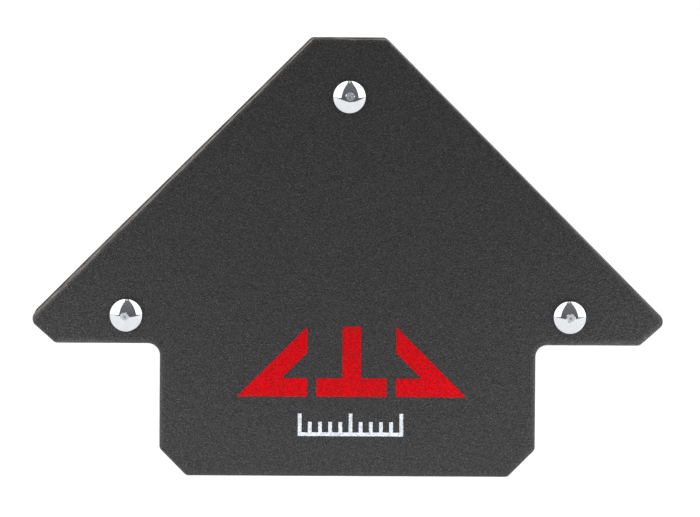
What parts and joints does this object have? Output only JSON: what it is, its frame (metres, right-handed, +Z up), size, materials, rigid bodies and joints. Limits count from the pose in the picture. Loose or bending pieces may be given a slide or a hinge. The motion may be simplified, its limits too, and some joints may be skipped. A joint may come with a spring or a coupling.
{
  "type": "welding magnet holder",
  "caption": "Arrow-shaped magnetic holder that fixtures steel at 45, 90 and 135 degrees: riveted steel pole plates over a moulded core of ferrite blocks.",
  "frame": {"origin": "middle of the base's underside, halfway between the two plates", "axes": "+Z up through the apex, +X to the right along the base, +Y to the rear, so that the printed front plate faces -Y"},
  "size_m": [0.1198, 0.0164, 0.0832],
  "materials": {
    "powder_coat": "matte",
    "zinc_plate": "gloss",
    "moulded_nylon": "matte",
    "ferrite": "matte",
    "sleeve_aluminium": "satin",
    "red_print": "satin",
    "white_print": "satin"
  },
  "bodies": {
    "root": {"front_plate": "powder_coat", "rear_plate": "powder_coat", "spacer_core": "moulded_nylon", "magnet_left_upper": "ferrite", "magnet_left_lower": "ferrite", "magnet_right_upper": "ferrite", "magnet_right_lower": "ferrite", "magnet_base_left": "ferrite", "magnet_base_middle": "ferrite", "magnet_base_right": "ferrite", "sleeve_top": "sleeve_aluminium", "sleeve_left": "sleeve_aluminium", "sleeve_right": "sleeve_aluminium", "rivet_top": "zinc_plate", "rivet_left": "zinc_plate", "rivet_right": "zinc_plate"}
  },
  "joints": []
}
